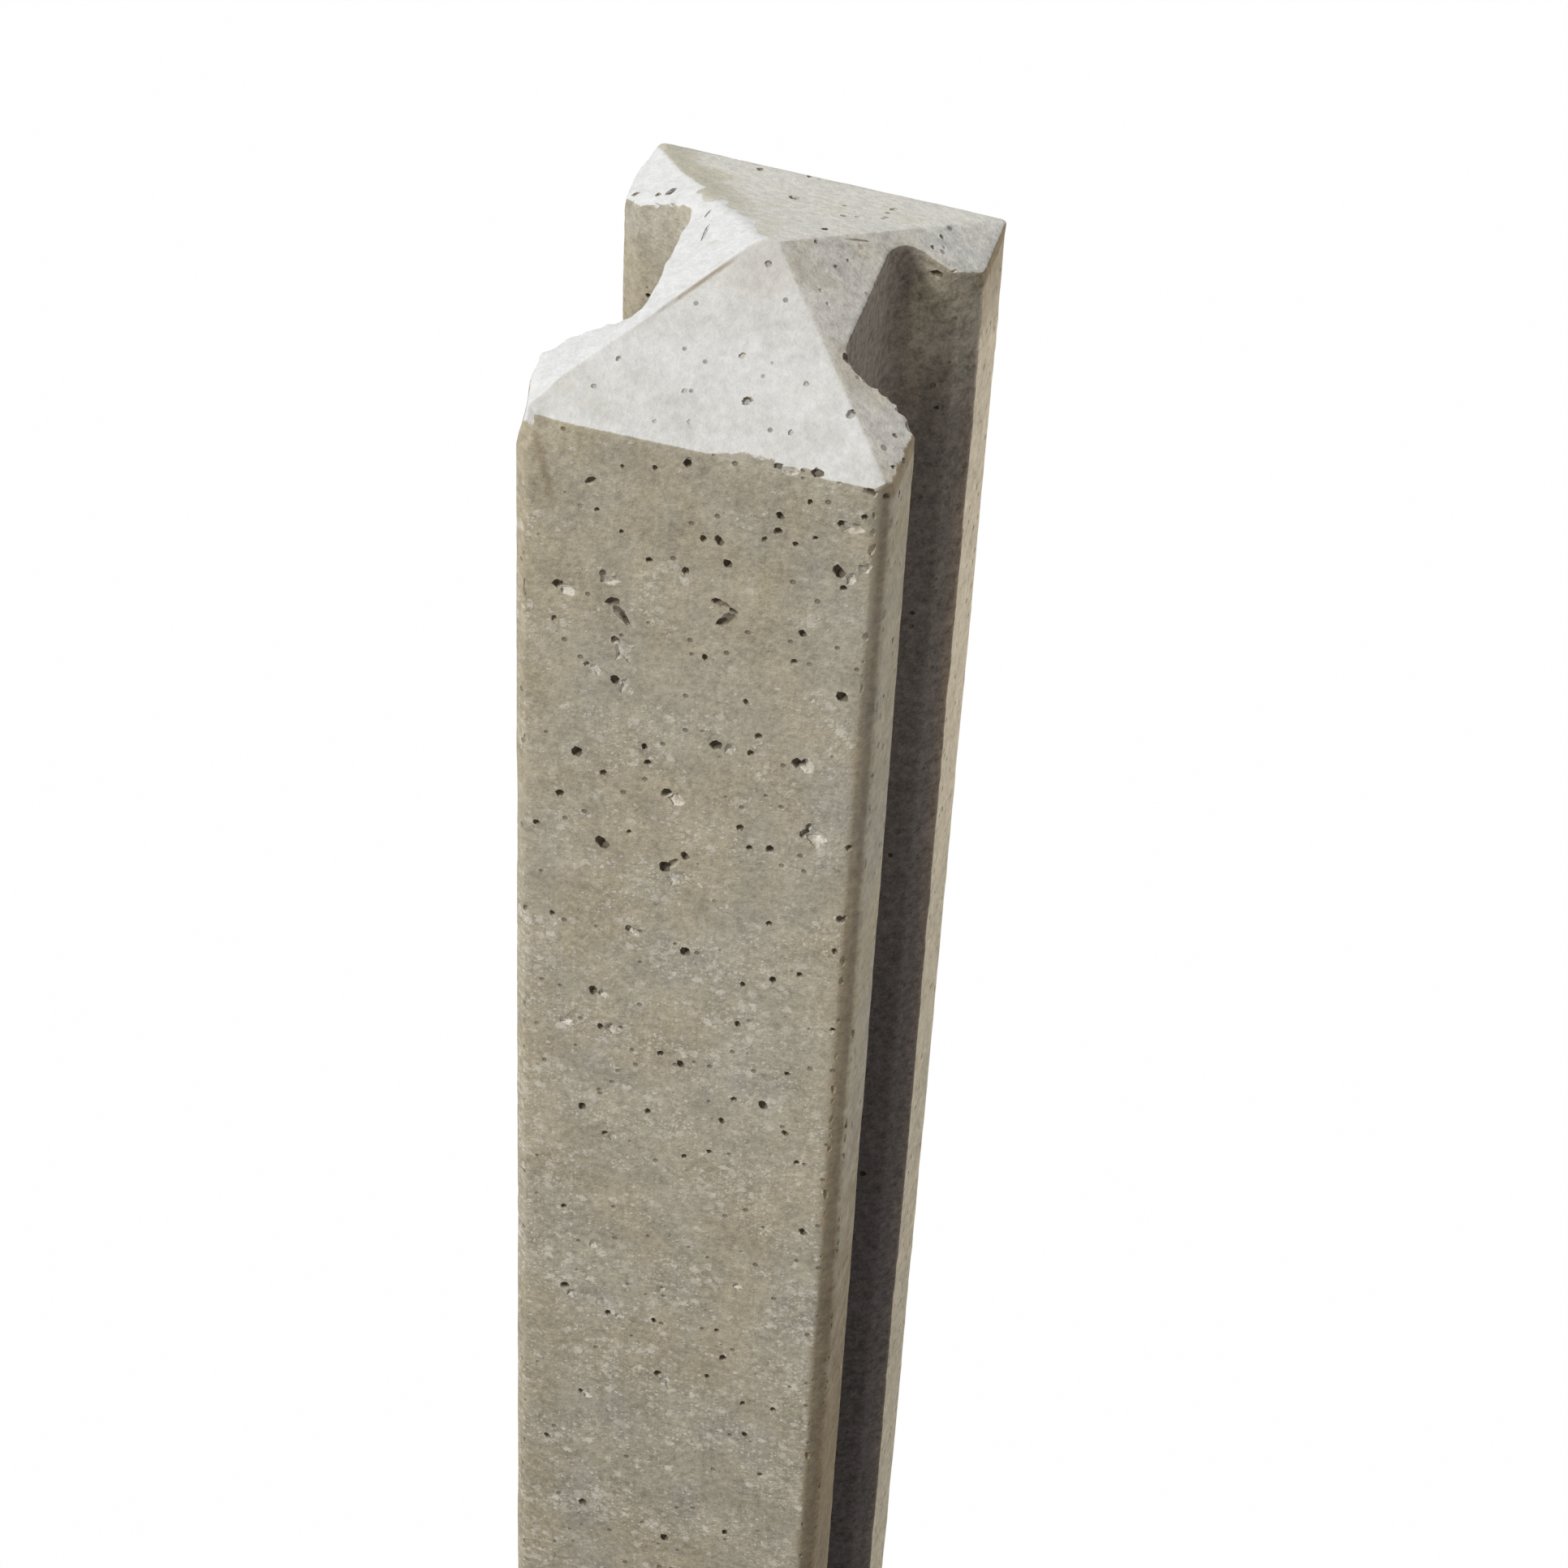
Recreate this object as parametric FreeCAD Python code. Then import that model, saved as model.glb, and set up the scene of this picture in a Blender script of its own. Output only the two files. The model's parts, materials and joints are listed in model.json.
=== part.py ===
import FreeCAD, Part
import os

# A concrete fence post, cast in one piece, with a slot down each side for fence panels.
# X runs across the front face, Y from the front face to the back face, and Z up from the middle of the base.
# Sizes are in millimetres.

# Overall sizes, with the length taken from the base to the ridge of the cap.
post_length = 1750.0
face_width = 105.0
side_depth = 125.0

# Weathered cap: four slopes that rise from level eaves to a short ridge, which runs across the front face.
cap_rise = 25.0
cap_ridge = 5.0

# Flat down each upright corner of the front face. The back corners are square.
corner_flat = 4.0

# Panel slot: its walls lean apart by the taper, and lips at its mouth flare further, so that the casting
# leaves the mould and a panel finds its way in.
slot_depth = 24.0
slot_floor_width = 51.0
wall_taper = 5.5
lip_depth = 6.0
lip_flare = 6.0
slot_floor_radius = 7.0
lip_radius = 5.0
mouth_radius = 2.5

# Places that follow from the sizes above.
half_width = face_width / 2
half_depth = side_depth / 2
slot_floor_x = half_width - slot_depth
lip_x = half_width - lip_depth
half_floor = slot_floor_width / 2
half_throat = half_floor + wall_taper
half_mouth = half_throat + lip_flare
eaves_height = post_length - cap_rise

# Two places closer than this are the same place.
same_place = 1e-6

cubic_mm_per_litre = 1e6


def prism(outline, run):
    """Closed outline of points, carried along the run to make a solid."""
    wire = Part.makePolygon(outline + outline[:1])
    return Part.Face(wire).extrude(run)


def upright_edges(solid, x, y):
    """The upright edges of a prism that stand at (x, y) and at its mirror places in the four quarters."""
    found = []
    for edge in solid.Edges:
        foot = edge.Vertexes[0].Point
        head = edge.Vertexes[-1].Point
        stands_upright = abs(foot.x - head.x) < same_place and abs(foot.y - head.y) < same_place
        at_place = abs(abs(foot.x) - x) < same_place and abs(abs(foot.y) - y) < same_place
        if stands_upright and at_place:
            found.append(edge)
    return found


def slotted_shaft():
    """The post's section, carried from the base to the height of the ridge."""
    right_side = [
        (half_width, -half_depth),
        (half_width, -half_mouth),
        (lip_x, -half_throat),
        (slot_floor_x, -half_floor),
        (slot_floor_x, half_floor),
        (lip_x, half_throat),
        (half_width, half_mouth),
        (half_width, half_depth),
    ]
    left_side = [(-x, -y) for x, y in right_side]
    section = [FreeCAD.Vector(x, y, 0) for x, y in right_side + left_side]
    shaft = prism(section, FreeCAD.Vector(0, 0, post_length))
    shaft = shaft.makeFillet(slot_floor_radius, upright_edges(shaft, slot_floor_x, half_floor))
    shaft = shaft.makeFillet(lip_radius, upright_edges(shaft, lip_x, half_throat))
    shaft = shaft.makeFillet(mouth_radius, upright_edges(shaft, half_width, half_mouth))
    corners = upright_edges(shaft, half_width, half_depth)
    front_corners = [edge for edge in corners if edge.Vertexes[0].Point.y < 0]
    return shaft.makeChamfer(corner_flat, front_corners)


def gable(half_span, half_top, across, along, half_run):
    """A two-slope block: half_span each way across, half_run along, level on top for half_top each way."""
    start = along * -half_run
    eaves = start + FreeCAD.Vector(0, 0, eaves_height)
    top = start + FreeCAD.Vector(0, 0, post_length)
    outline = [
        start - across * half_span,
        start + across * half_span,
        eaves + across * half_span,
        top + across * half_top,
    ]
    if half_top > same_place:
        outline.append(top - across * half_top)
    outline.append(eaves - across * half_span)
    return prism(outline, along * (2 * half_run))


def fence_post():
    """The slotted shaft under a four-slope cap, as two crossing gables leave it."""
    x_way = FreeCAD.Vector(1, 0, 0)
    y_way = FreeCAD.Vector(0, 1, 0)
    side_slopes = gable(half_width, cap_ridge / 2, x_way, y_way, half_depth)
    face_slopes = gable(half_depth, 0, y_way, x_way, half_width)
    return slotted_shaft().common(side_slopes).common(face_slopes).removeSplitter()


os.makedirs("parts", exist_ok=True)
post = fence_post().Solids[0]
post.exportStep("parts/concrete_post.step")
soundness = "valid" if post.isValid() else "not valid"
print("concrete_post", soundness, round(post.Volume / cubic_mm_per_litre, 3), "litres")
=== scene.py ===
"""A weathered concrete fence post with a panel slot down each side, standing on a pale studio floor."""

import json
import logging
import math
import random
from collections.abc import Callable, Iterator, Mapping, Sequence
from contextlib import contextmanager
from dataclasses import dataclass, field, replace
from enum import Enum
from typing import Any

import bmesh
import bpy
from mathutils import Matrix, Vector

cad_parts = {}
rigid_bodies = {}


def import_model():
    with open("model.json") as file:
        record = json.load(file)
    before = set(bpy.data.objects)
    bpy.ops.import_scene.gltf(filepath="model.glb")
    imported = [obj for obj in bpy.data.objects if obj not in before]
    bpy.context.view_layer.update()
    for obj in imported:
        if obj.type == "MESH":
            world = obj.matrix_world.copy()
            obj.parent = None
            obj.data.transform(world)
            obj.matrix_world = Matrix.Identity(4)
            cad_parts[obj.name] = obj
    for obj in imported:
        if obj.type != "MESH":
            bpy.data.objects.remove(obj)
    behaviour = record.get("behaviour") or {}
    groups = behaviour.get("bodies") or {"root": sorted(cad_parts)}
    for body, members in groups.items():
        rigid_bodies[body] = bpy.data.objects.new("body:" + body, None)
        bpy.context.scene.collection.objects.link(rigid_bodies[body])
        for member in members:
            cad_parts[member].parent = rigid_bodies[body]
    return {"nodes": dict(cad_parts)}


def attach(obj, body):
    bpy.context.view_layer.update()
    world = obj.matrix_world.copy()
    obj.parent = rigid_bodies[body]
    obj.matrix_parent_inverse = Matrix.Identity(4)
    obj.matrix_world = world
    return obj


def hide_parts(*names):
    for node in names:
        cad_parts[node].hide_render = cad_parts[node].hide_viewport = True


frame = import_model()

log = logging.getLogger("fence_post")

MM = 0.001
# Places closer than the first are one place, and a direction shorter than the second is no direction.
SAME_PLACE = 1e-6
NO_LENGTH = 1e-3
SEED = 20
FRONT = Vector((0, -1, 0))
BACK = Vector((0, 1, 0))

Colour = tuple[float, float, float, float]
Triple = tuple[float, float, float]
Rows = tuple[tuple[float, ...], ...]
Runs = tuple[tuple[tuple[float, float], tuple[float, float], float], ...]


def paint(red: int, green: int, blue: int) -> Colour:
    """Turns a colour as a screen shows it into the linear colour of a shader.

    Args:
        red: Red part, 0 to 255.
        green: Green part, 0 to 255.
        blue: Blue part, 0 to 255.

    Returns:
        The colour as linear red, green, blue and an alpha of 1.
    """
    # The usual curve of a screen, straight near black.
    parts = [part / 255 for part in (red, green, blue)]
    linear = [part / 12.92 if part <= 0.04045 else ((part + 0.055) / 1.055) ** 2.4 for part in parts]
    return (linear[0], linear[1], linear[2], 1.0)


class Pick(Enum):
    """What edit mode selects."""

    VERTS = "VERT"
    EDGES = "EDGE"
    FACES = "FACE"


class Axis(Enum):
    """A direction of the post's frame."""

    ACROSS = Vector((1, 0, 0))
    DEPTH = Vector((0, 1, 0))
    UP = Vector((0, 0, 1))


class Mould(Enum):
    """Kinds of hollow that are cut into the concrete, each with the unevenness of its mould."""

    BUBBLE = 0.2
    SCOOP = 0.32
    SPALL = 0.24
    FLAKE = 0.25


def take(piece: bpy.types.Object) -> None:
    """Selects one object and nothing else, in object mode.

    Args:
        piece: The object.
    """
    if bpy.context.mode != "OBJECT":
        bpy.ops.object.mode_set(mode="OBJECT")
    bpy.ops.object.select_all(action="DESELECT")
    piece.select_set(True)
    bpy.context.view_layer.objects.active = piece


@contextmanager
def editing(piece: bpy.types.Object, kind: Pick) -> Iterator[None]:
    """Holds a piece in edit mode, with all of it selected at the start.

    Args:
        piece: The mesh object to edit.
        kind: What the selection is made of.
    """
    take(piece)
    bpy.ops.object.mode_set(mode="EDIT")
    bpy.ops.mesh.select_mode(type=kind.value)
    bpy.ops.mesh.select_all(action="SELECT")
    yield
    bpy.ops.object.mode_set(mode="OBJECT")


def pick(piece: bpy.types.Object, kind: Pick, wanted: Callable[[Any], bool]) -> None:
    """Selects the vertices, edges or faces of a piece in edit mode that pass a test.

    Args:
        piece: The mesh object in edit mode.
        kind: What the selection is made of.
        wanted: Test of one vertex, edge or face.
    """
    bpy.ops.mesh.select_all(action="DESELECT")
    shape = bmesh.from_edit_mesh(piece.data)
    for part in {Pick.VERTS: shape.verts, Pick.EDGES: shape.edges, Pick.FACES: shape.faces}[kind]:
        part.select = wanted(part)
    shape.select_flush_mode()
    bmesh.update_edit_mesh(piece.data, loop_triangles=False, destructive=False)


def slice_at(axis: Axis, level: float) -> None:
    """Cuts the selected faces in edit mode along the plane at a level of an axis."""
    bpy.ops.mesh.bisect(plane_co=axis.value * level, plane_no=axis.value, threshold=SAME_PLACE)


def run_of(start: float, stop: float, step: float) -> list[float]:
    """Lists the levels from start up to stop at an even step."""
    return [start + step * count for count in range(int(round((stop - start) / step)) + 1)]


def triangles_in(piece: bpy.types.Object) -> int:
    """Counts a mesh's triangles."""
    piece.data.calc_loop_triangles()
    return len(piece.data.loop_triangles)


class Sock:
    """A node's output, with the arithmetic that Math nodes give."""

    def __init__(self, sheet: "NodeSheet", socket: bpy.types.NodeSocket) -> None:
        """Wraps one output socket of a sheet's node."""
        self.sheet = sheet
        self.socket = socket

    def other(self, name: str) -> "Sock":
        """Gives another output of the same node."""
        return Sock(self.sheet, self.socket.node.outputs[name])

    def _math(self, operation: str, first: Any, second: Any) -> "Sock":
        """Adds one Math node to two values or sockets."""
        return self.sheet.node("ShaderNodeMath", {"operation": operation}, {0: first, 1: second})

    def __add__(self, more: Any) -> "Sock":
        """Adds."""
        return self._math("ADD", self, more)

    def __radd__(self, more: Any) -> "Sock":
        """Adds to a number."""
        return self._math("ADD", more, self)

    def __sub__(self, less: Any) -> "Sock":
        """Takes away."""
        return self._math("SUBTRACT", self, less)

    def __rsub__(self, start: Any) -> "Sock":
        """Takes away from a number."""
        return self._math("SUBTRACT", start, self)

    def __mul__(self, times: Any) -> "Sock":
        """Multiplies."""
        return self._math("MULTIPLY", self, times)

    def __rmul__(self, times: Any) -> "Sock":
        """Multiplies a number."""
        return self._math("MULTIPLY", times, self)

    def __abs__(self) -> "Sock":
        """Gives the size without the sign."""
        return self._math("ABSOLUTE", self, 0.0)

    def at_least(self, floor: Any) -> "Sock":
        """Gives the greater of two values."""
        return self._math("MAXIMUM", self, floor)


class NodeSheet:
    """The nodes of one material or world."""

    def __init__(self, owner: Any) -> None:
        """Clears the owner's node tree and keeps it at hand.

        Args:
            owner: The material or world.
        """
        owner.use_nodes = True
        self.tree = owner.node_tree
        self.tree.nodes.clear()

    def node(
        self,
        kind: str,
        settings: Mapping[str, Any] | None = None,
        inputs: Mapping[int | str, Any] | None = None,
        output: int | str = 0,
    ) -> Sock:
        """Adds a node of any type.

        Args:
            kind: The node's type.
            settings: Values of the node itself, set first.
            inputs: Values or sockets for its inputs, by name or number.
            output: Which output to give back.

        Returns:
            That output of the new node, or the first input of a node that ends the sheet.
        """
        made = self.tree.nodes.new(kind)
        for name, value in (settings or {}).items():
            setattr(made, name, value)
        for name, value in (inputs or {}).items():
            if isinstance(value, Sock):
                self.tree.links.new(value.socket, made.inputs[name])
            else:
                made.inputs[name].default_value = value
        return Sock(self, made.outputs[output] if made.outputs else made.inputs[0])

    def mix(self, share: Any, under: Any, over: Any) -> Sock:
        """Mixes two colours.

        Args:
            share: How much of the second colour shows.
            under: First colour or socket.
            over: Second colour or socket.

        Returns:
            The mixed colour.
        """
        settings = {"data_type": "RGBA", "blend_type": "MIX", "clamp_factor": True}
        return self.node("ShaderNodeMix", settings, {0: share, 6: under, 7: over}, 2)

    def band(self, value: Sock, low: float, high: float) -> Sock:
        """Rises smoothly from 0 at low to 1 at high, or falls where low is the greater.

        Args:
            value: What is measured.
            low: Where the band is 0.
            high: Where the band is 1.

        Returns:
            A value from 0 to 1.
        """
        settings = {"interpolation_type": "SMOOTHSTEP", "clamp": True}
        if low <= high:
            return self.node("ShaderNodeMapRange", settings, {0: value, 1: low, 2: high, 3: 0.0, 4: 1.0})
        return self.node("ShaderNodeMapRange", settings, {0: value, 1: high, 2: low, 3: 1.0, 4: 0.0})

    def clouds(self, place: Sock, size: float, detail: float, rough: float) -> Sock:
        """Soft noise whose patches are about the given size across.

        Args:
            place: Coordinates in metres.
            size: Size of the patches in metres.
            detail: Number of finer layers.
            rough: Strength of the finer layers.

        Returns:
            A value around one half.
        """
        inputs = {"Vector": place, "Scale": 1 / size, "Detail": detail, "Roughness": rough}
        return self.node("ShaderNodeTexNoise", {"noise_dimensions": "3D"}, inputs, "Fac")

    def cells(self, place: Sock, size: float) -> Sock:
        """Distance from scattered points that are about the given size apart, in cell widths.

        Args:
            place: Coordinates in metres.
            size: Distance between the points in metres.

        Returns:
            The distance. Its node's Color output is one colour for each point.
        """
        settings = {"feature": "F1", "voronoi_dimensions": "3D"}
        inputs = {"Vector": place, "Scale": 1 / size, "Randomness": 1.0}
        return self.node("ShaderNodeTexVoronoi", settings, inputs, "Distance")

    def jostled(self, place: Sock, size: float, reach: float) -> Sock:
        """Gives coordinates moved aside by noise.

        Args:
            place: Coordinates in metres.
            size: Size of the noise's patches in metres.
            reach: How far the coordinates swing, in metres.

        Returns:
            The moved coordinates.
        """
        inputs = {"Vector": place, "Scale": 1 / size, "Detail": 1.0}
        swing = self.node("ShaderNodeTexNoise", {"noise_dimensions": "3D"}, inputs, "Color")
        settings = {"operation": "MULTIPLY_ADD"}
        return self.node("ShaderNodeVectorMath", settings, {0: swing, 1: (reach, reach, reach), 2: place})

    def stretched(self, place: Sock, scale: Triple) -> Sock:
        """Gives coordinates multiplied along each axis."""
        return self.node("ShaderNodeMapping", {"vector_type": "POINT"}, {"Vector": place, "Scale": scale})

    def split(self, vector: Sock) -> tuple[Sock, Sock, Sock]:
        """Gives a vector's three parts."""
        first = self.node("ShaderNodeSeparateXYZ", None, {0: vector}, "X")
        return first, first.other("Y"), first.other("Z")


@dataclass(frozen=True)
class PostSizes:
    """The sizes of the casting in metres, and the surfaces that follow from them."""

    half_width: float = 0.0525
    half_depth: float = 0.0625
    half_ridge: float = 0.0025
    eaves: float = 1.725
    rise: float = 0.025
    slot_floor: float = 0.0285
    half_floor: float = 0.0255
    lip: float = 0.0465
    half_throat: float = 0.031
    half_mouth: float = 0.037
    corner_flat: float = 0.004

    def cap_height(self, across: float, depth: float) -> float:
        """Height of the cap's surface over a place of the plan."""
        sideways = (abs(across) - self.half_ridge) / (self.half_width - self.half_ridge)
        return self.eaves + self.rise * (1 - max(sideways, abs(depth) / self.half_depth, 0.0))

    def cap_facing(self, across: float, depth: float) -> Vector:
        """Direction that the cap faces over a place of the plan.

        Args:
            across: Distance across the front face from its middle.
            depth: Distance towards the back from the middle.

        Returns:
            The direction, of length 1.
        """
        side_run = self.half_width - self.half_ridge
        if (abs(across) - self.half_ridge) / side_run > abs(depth) / self.half_depth:
            return Vector((math.copysign(self.rise / side_run, across), 0, 1)).normalized()
        return Vector((0, math.copysign(self.rise / self.half_depth, depth), 1)).normalized()

    def slot_half(self, across: float) -> float:
        """Half the slot's width at a distance from the post's middle plane.

        Args:
            across: Distance across the front face from its middle.

        Returns:
            Half the width there.
        """
        out = abs(across)
        if out < self.lip:
            share = (out - self.slot_floor) / (self.lip - self.slot_floor)
            return self.half_floor + (self.half_throat - self.half_floor) * share
        share = (out - self.lip) / (self.half_width - self.lip)
        return self.half_throat + (self.half_mouth - self.half_throat) * share

    def slot_gap(self, across: float, depth: float) -> float:
        """Distance in plan from the edge of the nearer slot.

        Args:
            across: Distance across the front face from its middle.
            depth: Distance towards the back from the middle.

        Returns:
            The distance, less than zero inside the slot.
        """
        inward = self.slot_floor - abs(across)
        aside = abs(depth) - self.slot_half(max(abs(across), self.slot_floor))
        if inward > 0 and aside > 0:
            return math.hypot(inward, aside)
        return max(inward, aside)


@dataclass
class Marks:
    """What the concrete's layers share: where a point lies, soft noises, and how far it is in each zone."""

    place: Sock
    across: Sock
    depth: Sock
    drop: Sock
    low: Sock
    mottle: Sock
    fine: Sock
    sand: Sock
    stains: Sock
    on_cap: Sock
    stained: Sock
    in_slot: Sock


@dataclass(frozen=True)
class ConcreteFinish(PostSizes):
    """Weathered cast concrete: a pale cap, dull stained faces with sand grains, and a right slot darkened by
    grime and painted shade.
    """

    face: Colour = paint(176, 168, 149)
    face_warm: Colour = paint(178, 166, 140)
    face_cool: Colour = paint(170, 165, 153)
    brown: Colour = paint(140, 122, 95)
    # Painted highlight of the far strip of the right side.
    cream: Colour = paint(224, 210, 184)
    # The right slot's dark colours are grime and painted shade; slot_top is lighter, as painted light near
    # its head.
    grime_and_shade: Colour = paint(114, 105, 98)
    dark_grime_and_shade: Colour = paint(88, 81, 80)
    brown_grime_and_shade: Colour = paint(136, 119, 100)
    slot_top: Colour = paint(125, 116, 106)
    wall_pale: Colour = paint(196, 190, 176)
    cap: Colour = paint(213, 212, 208)
    cap_grey: Colour = paint(199, 195, 187)
    cap_right: Colour = paint(198, 194, 186)
    cap_warm: Colour = paint(186, 179, 165)
    cap_back: Colour = paint(219, 217, 208)
    cap_moss: Colour = paint(194, 189, 172)
    fresh: Colour = paint(226, 226, 225)
    # Flecks: worn skin and painted highlight.
    fleck: Colour = paint(216, 209, 195)
    # Scoop walls: fresh concrete and painted highlight.
    chip: Colour = paint(222, 217, 207)
    # The dark of air holes and pinholes: dirt and painted shade.
    hollow: Colour = paint(94, 83, 69)

    # How fast the slot's walls lean apart, and how much faster its lips do.
    wall_lean: float = 0.3056
    lip_lean: float = 0.6944

    # Sizes of the patches, noises and grains in metres.
    patch_size: float = 0.045
    stain_size: float = 0.024
    swarm_size: float = 0.022
    mottle_size: float = 0.011
    lump_size: float = 0.006
    relief_size: float = 0.0045
    fine_size: float = 0.0026
    sand_size: float = 0.0009
    pin_spacing: float = 0.006
    # Flecks of three sizes: their spacing, and how rare they are.
    fleck_lots: Rows = ((0.0035, 0.88), (0.002, 0.8), (0.0012, 0.86))

    smoothest: float = 0.84
    roughest: float = 0.97
    gloss: float = 0.25
    bump: float = 0.6
    bump_height: float = 0.0008

    def make(self) -> bpy.types.Material:
        """Builds the material.

        Returns:
            The finished material.
        """
        material = bpy.data.materials.new("weathered_concrete")
        sheet = NodeSheet(material)
        marks = self._marks(sheet)
        cap, calm = self._cap(sheet, marks)
        colour = sheet.mix(marks.stained * 0.35, self._faces(sheet, marks), self.grime_and_shade)
        colour = sheet.mix(marks.on_cap, colour, cap)
        grain = (marks.mottle - 0.5) * 0.75 + (marks.fine - 0.5) + (marks.sand - 0.5) * 0.5
        darker = sheet.band(marks.drop, 0.15, 0.55) * 0.18
        tone = grain * (1.0 - marks.on_cap * calm + marks.in_slot * 0.8) + 1.0 - darker
        colour = sheet.node("ShaderNodeVectorMath", {"operation": "SCALE"}, {0: colour, "Scale": tone})
        flecks = self._flecks(sheet, marks)
        # Pale flecks: worn skin and painted highlight.
        colour = sheet.mix(flecks * 0.85, colour, self.fleck)
        # Pinholes painted dark: painted shade and dirt of holes too small to cut.
        pins = self._pins(sheet, marks)
        colour = sheet.mix(pins * 0.6, colour, self.hollow)
        colour = self._hollows(sheet, marks, colour)

        span = {0: marks.mottle, 1: 0.2, 2: 0.8, 3: self.smoothest, 4: self.roughest}
        rough = sheet.node("ShaderNodeMapRange", None, span)
        relief = sheet.clouds(marks.place, self.relief_size, 4.0, 0.65)
        height = relief + marks.fine * 0.7 + marks.sand * 0.4 - pins * 1.2 + flecks * 0.3
        inputs = {"Strength": self.bump, "Distance": self.bump_height, "Height": height}
        uneven = sheet.node("ShaderNodeBump", None, inputs)
        shader = sheet.node(
            "ShaderNodeBsdfPrincipled",
            None,
            {"Base Color": colour, "Roughness": rough, "Normal": uneven, "Specular IOR Level": self.gloss},
        )
        sheet.node("ShaderNodeOutputMaterial", None, {"Surface": shader})
        return material

    def _marks(self, sheet: NodeSheet) -> Marks:
        """Finds what the layers share.

        Args:
            sheet: The material's nodes.

        Returns:
            The shared values.
        """
        place = sheet.node("ShaderNodeTexCoord", None, None, "Object")
        across, depth, height = sheet.split(place)
        drop = self.eaves - height
        low = sheet.band(drop, 0.1, 0.36)
        _, _, facing_up = sheet.split(sheet.node("ShaderNodeNewGeometry", None, None, "Normal"))
        mottle = sheet.clouds(place, self.mottle_size, 4.0, 0.65)
        fine = sheet.clouds(place, self.fine_size, 3.0, 0.65)
        sand = sheet.clouds(place, self.sand_size, 2.0, 0.7)
        stains = sheet.clouds(sheet.stretched(place, (1.0, 1.0, 0.4)), self.stain_size, 4.0, 0.6)

        # The cap's colour runs a little below the eaves on the left, and ends raggedly on the right.
        left_side = sheet.band(across, -0.03, -0.04)
        corner = sheet.band(across, -0.0445, -0.0515) * sheet.band(depth, -0.05, -0.056)
        above = sheet.band(drop - left_side * 0.003 - corner * fine * 0.006, 0.0012, 0.0002)
        rubbed = sheet.band(across, self.half_width - 0.006, self.half_width - 0.002)
        rubbed = rubbed * sheet.band(depth, 0.001 - self.half_mouth, -0.001 - self.half_mouth)
        ragged = sheet.band(across, -0.01, 0.02) * 0.3 + 0.2
        tilt = facing_up + (fine - 0.5) * ragged - rubbed * 0.3 + corner * 2.0
        on_cap = above * sheet.band(tilt, 0.42, 0.56)

        # Stains creep over the front eaves in two places.
        creep = sheet.band(across, 0.001, 0.012) * sheet.band(across, 0.0225, 0.0195) * 0.0019
        creep = creep + sheet.band(across, 0.0265, 0.0285) * sheet.band(across, 0.034, 0.0315) * 0.0014
        creep = creep * ((fine - 0.5) * 2.4 + 1.0)
        clear = sheet.band(depth + self.half_depth - creep, -0.0003, 0.0004)
        stained = on_cap * (1.0 - clear)
        on_cap = on_cap * clear

        # What is broken away below the right slopes shows the colour of the faces.
        sideways = (across - self.half_ridge) * (1 / (self.half_width - self.half_ridge))
        sunk = (1.0 - sideways.at_least(abs(depth) * (1 / self.half_depth))) * self.rise + drop
        on_cap = on_cap * (1.0 - sheet.band(across, 0.02, 0.025) * sheet.band(sunk, 0.0035, 0.0045))

        # The right slot, a little wider at its head.
        wall = (across - self.slot_floor) * self.wall_lean + (across - self.lip).at_least(0.0) * self.lip_lean
        near_head = sheet.band(drop, 0.007, 0.0)
        beyond = abs(depth) - wall - self.half_floor - near_head * 0.003 + (mottle - 0.5) * 0.001
        in_slot = sheet.band(across, self.slot_floor - 0.004, self.slot_floor - 0.002)
        in_slot = in_slot * sheet.band(beyond, 0.0012, 0.0004) * (1.0 - on_cap)
        return Marks(place, across, depth, drop, low, mottle, fine, sand, stains, on_cap, stained, in_slot)

    def _faces(self, sheet: NodeSheet, marks: Marks) -> Sock:
        """Colours the upright faces and the slots.

        Args:
            sheet: The material's nodes.
            marks: The shared values.

        Returns:
            Their colour.
        """
        patches = sheet.clouds(marks.place, self.patch_size, 4.0, 0.6)
        colour = sheet.mix(sheet.band(patches, 0.42, 0.64) * 0.65, self.face, self.face_warm)
        colour = sheet.mix(sheet.band(marks.stains, 0.44, 0.7) * 0.6, colour, self.face_cool)
        left_strip = sheet.band(marks.across + (marks.mottle - 0.5) * 0.03, -0.036, -0.05)
        colour = sheet.mix(left_strip * (0.5 - marks.low * 0.25), colour, self.face_warm)
        left_wall = sheet.band(marks.across, -self.slot_floor, -self.slot_floor - 0.002)
        left_wall = left_wall * sheet.band(abs(marks.depth), self.half_mouth, self.half_mouth - 0.001)
        left_wall = left_wall * sheet.band(marks.drop, 0.022, 0.002)
        colour = sheet.mix(left_wall * 0.7, colour, self.wall_pale)
        colour = self._front_corners(sheet, marks, colour)
        colour = self._right_ends(sheet, marks, colour)
        return self._right_slot(sheet, marks, colour)

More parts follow.
